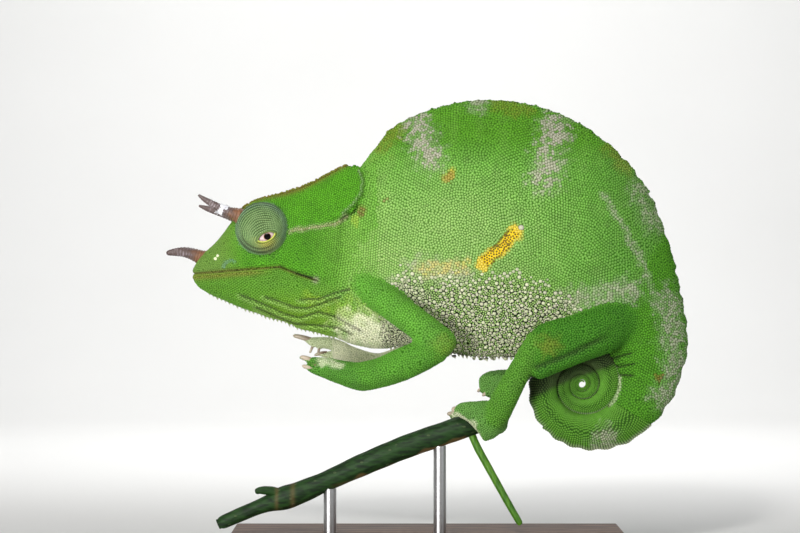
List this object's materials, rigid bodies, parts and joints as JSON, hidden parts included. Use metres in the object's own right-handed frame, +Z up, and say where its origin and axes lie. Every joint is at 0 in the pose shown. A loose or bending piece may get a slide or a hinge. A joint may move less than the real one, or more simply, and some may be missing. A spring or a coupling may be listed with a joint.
{
  "type": "three-horned chameleon model on a display stand",
  "caption": "Life-size still model of an usambara three-horned chameleon, tail coiled, gripping a cut stem on a plain flat stand.",
  "frame": {"origin": "centre of the underside of the stand's base", "axes": "+X from the animal's nose towards its rump, +Y towards the animal's right side, +Z up"},
  "size_m": [0.1962, 0.084, 0.1703],
  "materials": {
    "skin": "vivid green granular scales with pink-lilac and cream blotches, satin",
    "turret_skin": "grey-green skin in fine rings, satin",
    "eye": "wet gloss, dark pupil in a pale iris",
    "horn": "ringed pinkish-brown keratin, satin",
    "bark": "dark green stem bark, fibrous, dull",
    "twig": "bright green smooth twig",
    "wood": "dark walnut, oiled",
    "steel": "fine brushed"
  },
  "bodies": {
    "root": {"head": "skin", "lower_jaw": "skin", "eye_turret_left": "turret_skin", "eye_turret_right": "turret_skin", "eye_left": "eye", "eye_right": "eye", "horn_rostral": "horn", "horn_brow_left": "horn", "horn_brow_right": "horn", "neck": "skin", "torso": "skin", "tail_root": "skin", "tail_bend": "skin", "tail_outer_coil": "skin", "tail_middle_coil": "skin", "tail_inner_coil": "skin", "tail_tip": "skin", "upper_arm_left": "skin", "forearm_left": "skin", "hand_left": "skin", "upper_arm_right": "skin", "forearm_right": "skin", "hand_right": "skin", "thigh_left": "skin", "shin_left": "skin", "foot_left": "skin", "thigh_right": "skin", "shin_right": "skin", "foot_right": "skin", "perch_stem": "bark", "perch_twig": "twig", "stand_base": "wood", "stand_rod_front": "steel", "stand_rod_rear": "steel"}
  },
  "joints": []
}
